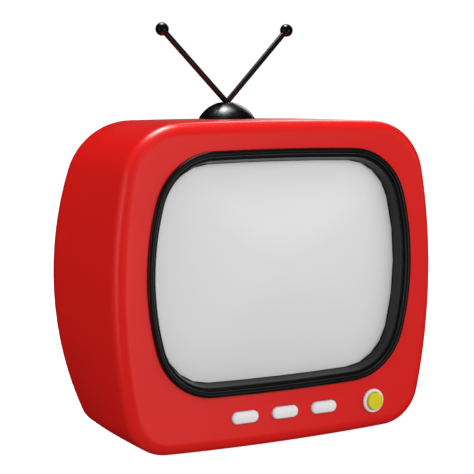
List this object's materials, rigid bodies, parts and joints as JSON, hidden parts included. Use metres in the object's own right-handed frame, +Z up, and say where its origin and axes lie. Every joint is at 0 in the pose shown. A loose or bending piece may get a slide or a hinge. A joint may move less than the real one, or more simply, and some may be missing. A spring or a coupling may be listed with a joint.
{
  "type": "tube television",
  "caption": "Small tube television in a rounded glossy red cabinet with a black-rimmed screen, front keys, a volume ring and a rod aerial on a swivelling dome.",
  "frame": {"origin": "middle of the whole object's box, on the surface that its feet stand on", "axes": "+Z up; +X to the right of someone watching the screen; the screen faces -Y"},
  "size_m": [0.3688, 0.263, 0.4234],
  "materials": {
    "cabinet_red": "glossy injection-moulded red plastic",
    "bezel_black": "semi-gloss black moulding",
    "screen_glass": "polished grey glass, light phosphor behind it",
    "funnel_glass": "glass with a dark conductive coating",
    "control_white": "satin white moulding",
    "button_yellow": "satin yellow moulding",
    "aerial_black": "glossy black moulding",
    "rod_black": "gloss black paint on steel rod",
    "foot_rubber": "matt black rubber",
    "rear_black": "finely textured black moulding",
    "switch_black": "black moulding",
    "ivory_plastic": "ivory moulding",
    "board": "brown phenolic-paper laminate",
    "band_steel": "tinned sheet steel",
    "screw_zinc": "zinc-plated steel",
    "laminated_steel": "varnished steel laminations",
    "heat_sink_aluminium": "extruded aluminium",
    "capacitor_can": "aluminium can in a blue sleeve",
    "ferrite": "sintered ferrite, dark grey",
    "enamelled_copper": "enamelled copper wire",
    "potted_winding": "resin-potted winding",
    "taped_winding": "copper winding under yellow tape",
    "lead_insulation": "red high-voltage insulation",
    "cone_paper": "dark pulp paper"
  },
  "bodies": {
    "cabinet": {"cabinet_shell": "cabinet_red", "front_left_foot": "foot_rubber", "front_right_foot": "foot_rubber", "rear_left_foot": "foot_rubber", "rear_right_foot": "foot_rubber", "bezel_ring": "bezel_black", "tube_seal": "foot_rubber", "crt_faceplate": "screen_glass", "crt_funnel": "funnel_glass", "rim_band": "band_steel", "deflection_coils": "enamelled_copper", "yoke_core": "ferrite", "centring_magnets": "ferrite", "tube_socket": "ivory_plastic", "neck_board": "board", "main_board": "board", "key_board": "board", "tuner_box": "band_steel", "flyback_core": "ferrite", "flyback_winding": "potted_winding", "mains_transformer_core": "laminated_steel", "mains_transformer_winding": "taped_winding", "heat_sink": "heat_sink_aluminium", "filter_capacitor": "capacitor_can", "anode_cap": "foot_rubber", "anode_lead": "lead_insulation", "speaker_frame": "band_steel", "speaker_cone": "cone_paper", "speaker_magnet": "ferrite", "volume_control": "band_steel", "rear_cover": "rear_black", "mains_inlet": "switch_black", "aerial_socket": "switch_black", "aerial_base": "switch_black", "aerial_nut": "screw_zinc", "tube_screw_1": "screw_zinc", "cover_screw_1": "screw_zinc", "tube_screw_2": "screw_zinc", "cover_screw_2": "screw_zinc", "tube_screw_3": "screw_zinc", "cover_screw_3": "screw_zinc", "tube_screw_4": "screw_zinc", "cover_screw_4": "screw_zinc", "key_switch_1": "switch_black", "key_spring_1": "screw_zinc", "key_switch_2": "switch_black", "key_spring_2": "screw_zinc", "key_switch_3": "switch_black", "key_spring_3": "screw_zinc"},
    "key_1": {"channel_key_1": "control_white"},
    "key_2": {"channel_key_2": "control_white"},
    "key_3": {"channel_key_3": "control_white"},
    "volume_ring": {"volume_ring": "control_white"},
    "power_button": {"power_button": "button_yellow"},
    "aerial_dome": {"aerial_dome": "aerial_black", "pivot_pin": "screw_zinc"},
    "left_rod": {"left_rod": "rod_black", "left_rod_tip": "aerial_black"},
    "right_rod": {"right_rod": "rod_black", "right_rod_tip": "aerial_black"}
  },
  "joints": [
    {"name": "key_1_press", "type": "slide", "parent": "cabinet", "child": "key_1", "axis": [0, 1, 0], "range_m": [0, 0.002], "stiffness_N_per_m": 400, "deforming": ["key_spring_1"]},
    {"name": "key_2_press", "type": "slide", "parent": "cabinet", "child": "key_2", "axis": [0, 1, 0], "range_m": [0, 0.002], "stiffness_N_per_m": 400, "deforming": ["key_spring_2"]},
    {"name": "key_3_press", "type": "slide", "parent": "cabinet", "child": "key_3", "axis": [0, 1, 0], "range_m": [0, 0.002], "stiffness_N_per_m": 400, "deforming": ["key_spring_3"]},
    {"name": "power_button_press", "type": "slide", "parent": "cabinet", "child": "power_button", "axis": [0, 1, 0], "range_m": [0, 0.002], "stiffness_N_per_m": 400},
    {"name": "volume_ring_turn", "type": "hinge", "parent": "cabinet", "child": "volume_ring", "pos_m": [0.1071, -0.12505, 0.0351], "axis": [0, 1, 0], "range_deg": [-140, 140]},
    {"name": "aerial_swivel", "type": "hinge", "parent": "cabinet", "child": "aerial_dome", "pos_m": [0, -0.01185, 0.3234], "axis": [0, 0, 1], "range_deg": [-90, 90]},
    {"name": "left_rod_tilt", "type": "hinge", "parent": "aerial_dome", "child": "left_rod", "pos_m": [0, -0.015, 0.3392], "axis": [0, 1, 0], "range_deg": [-24, 40]},
    {"name": "right_rod_tilt", "type": "hinge", "parent": "aerial_dome", "child": "right_rod", "pos_m": [0, -0.00869, 0.3392], "axis": [0, 1, 0], "range_deg": [-39, 25]}
  ]
}
